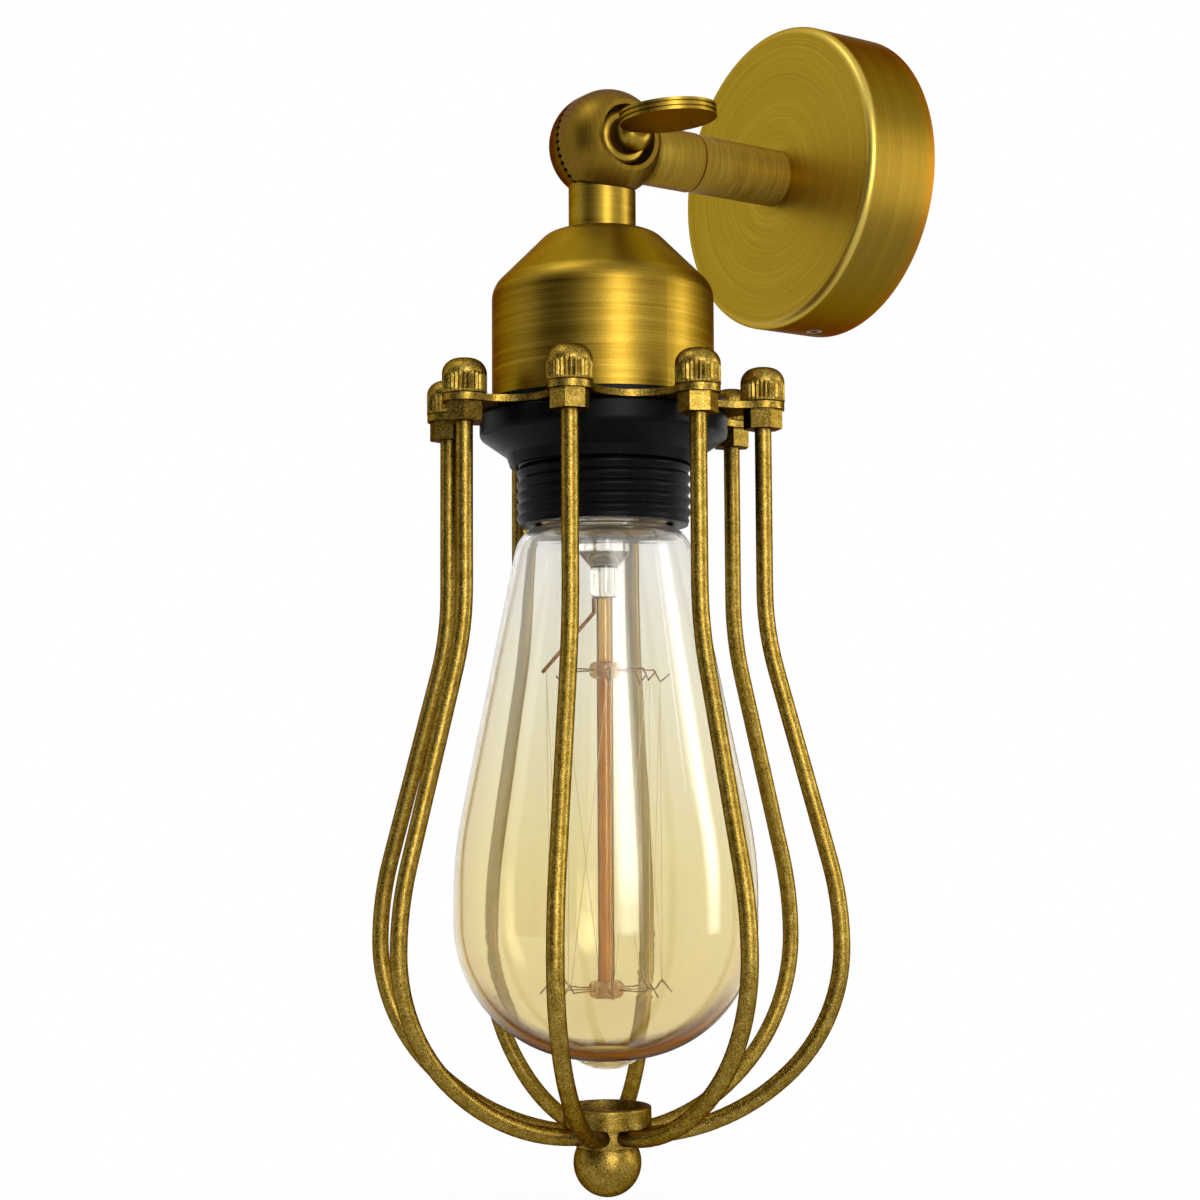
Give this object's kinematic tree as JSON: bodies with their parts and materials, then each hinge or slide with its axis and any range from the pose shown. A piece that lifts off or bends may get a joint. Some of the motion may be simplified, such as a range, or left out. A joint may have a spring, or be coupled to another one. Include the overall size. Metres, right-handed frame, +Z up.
{
  "type": "cage wall light",
  "caption": "Wall light with a round canopy, short arm, serrated tilting knuckle with thumb screw, metal cup, threaded black lampholder, filament bulb and bulbous wire cage with a ball finial.",
  "frame": {"origin": "centre of the canopy's wall face, on the arm's axis", "axes": "+Y runs into the wall, square to the wall face; +Z is up; the knuckle turns about an axis along X and the lamp hangs along -Z at rest"},
  "size_m": [0.1072, 0.122, 0.27],
  "materials": {
    "antique_brass": "brushed and lacquered, antique brass",
    "gold_paint": "fine-grained metallic gold paint",
    "zinc_steel": "zinc plated",
    "plain_brass": "bare brass",
    "black_plastic": "satin moulded phenolic",
    "white_ceramic": "glazed ceramic",
    "solder": "dull solder",
    "lamp_glass": "thin clear glass with an amber cast",
    "amber_glass": "amber glass rod",
    "bronze_wire": "oxidised wire",
    "filament_wire": "dark filament"
  },
  "bodies": {
    "wall_mount": {"wall_canopy": "antique_brass", "mounting_strap": "zinc_steel", "canopy_screws": "zinc_steel", "earth_washer": "plain_brass", "earth_screw": "plain_brass", "arm_nipple": "zinc_steel", "nipple_washer": "zinc_steel", "nipple_nut": "zinc_steel", "arm_tube": "antique_brass", "arm_knuckle": "antique_brass"},
    "lamp_head": {"lamp_knuckle": "antique_brass", "lamp_cup": "antique_brass", "cup_nipple": "zinc_steel", "cup_nut": "zinc_steel", "lampholder_cap": "black_plastic", "lampholder_body": "black_plastic", "contact_carrier": "white_ceramic", "terminal_screws": "zinc_steel", "screw_shell": "plain_brass", "centre_contact": "plain_brass", "upper_shade_ring": "black_plastic", "cage_ring": "gold_paint", "cage_wire_1": "gold_paint", "cage_wire_2": "gold_paint", "cage_wire_3": "gold_paint", "cage_wire_4": "gold_paint", "cage_wire_5": "gold_paint", "cage_wire_6": "gold_paint", "cage_wire_7": "gold_paint", "cage_wire_8": "gold_paint", "cap_nuts": "gold_paint", "hex_nuts": "gold_paint", "cage_hub": "gold_paint", "ball_finial": "gold_paint", "finial_screw": "zinc_steel"},
    "lower_shade_ring": {"lower_shade_ring": "black_plastic"},
    "thumb_washer": {"thumb_washer": "plain_brass"},
    "thumb_screw": {"thumb_screw": "antique_brass"},
    "bulb_seat": {"bulb_contact": "solder"},
    "bulb": {"bulb_glass": "lamp_glass", "bulb_cap": "plain_brass", "bulb_insulator": "black_plastic", "glass_stem": "lamp_glass", "glass_rod": "amber_glass", "upper_hooks": "bronze_wire", "lower_hooks": "bronze_wire", "filament": "filament_wire", "lead_wires": "bronze_wire"}
  },
  "joints": [
    {"name": "head_tilt", "type": "hinge", "parent": "wall_mount", "child": "lamp_head", "pos_m": [0, -0.0683, 0], "axis": [-1, 0, 0], "range_deg": [-4, 180]},
    {"name": "shade_ring_turn", "type": "hinge", "parent": "lamp_head", "child": "lower_shade_ring", "pos_m": [0, -0.0683, -0.068], "axis": [0, 0, -1], "range_deg": [0, 360]},
    {"name": "thumb_screw_travel", "type": "slide", "parent": "lamp_head", "child": "thumb_washer", "axis": [1, 0, 0], "range_m": [0, 0.002]},
    {"name": "thumb_screw_turn", "type": "hinge", "parent": "thumb_washer", "child": "thumb_screw", "pos_m": [0, -0.0683, 0], "axis": [1, 0, 0], "range_deg": [0, 720]},
    {"name": "bulb_travel", "type": "slide", "parent": "lamp_head", "child": "bulb_seat", "axis": [0, 0, -1], "range_m": [0, 0.0045]},
    {"name": "bulb_turn", "type": "hinge", "parent": "bulb_seat", "child": "bulb", "pos_m": [0, -0.0683, -0.085], "axis": [0, 0, -1], "range_deg": [0, 445]}
  ],
  "couplings": [
    {"joint": "thumb_screw_turn", "follows": "thumb_screw_travel", "rad_per_m": 6283.2},
    {"joint": "bulb_travel", "follows": "bulb_turn", "m_per_rad": 0.00057296}
  ]
}
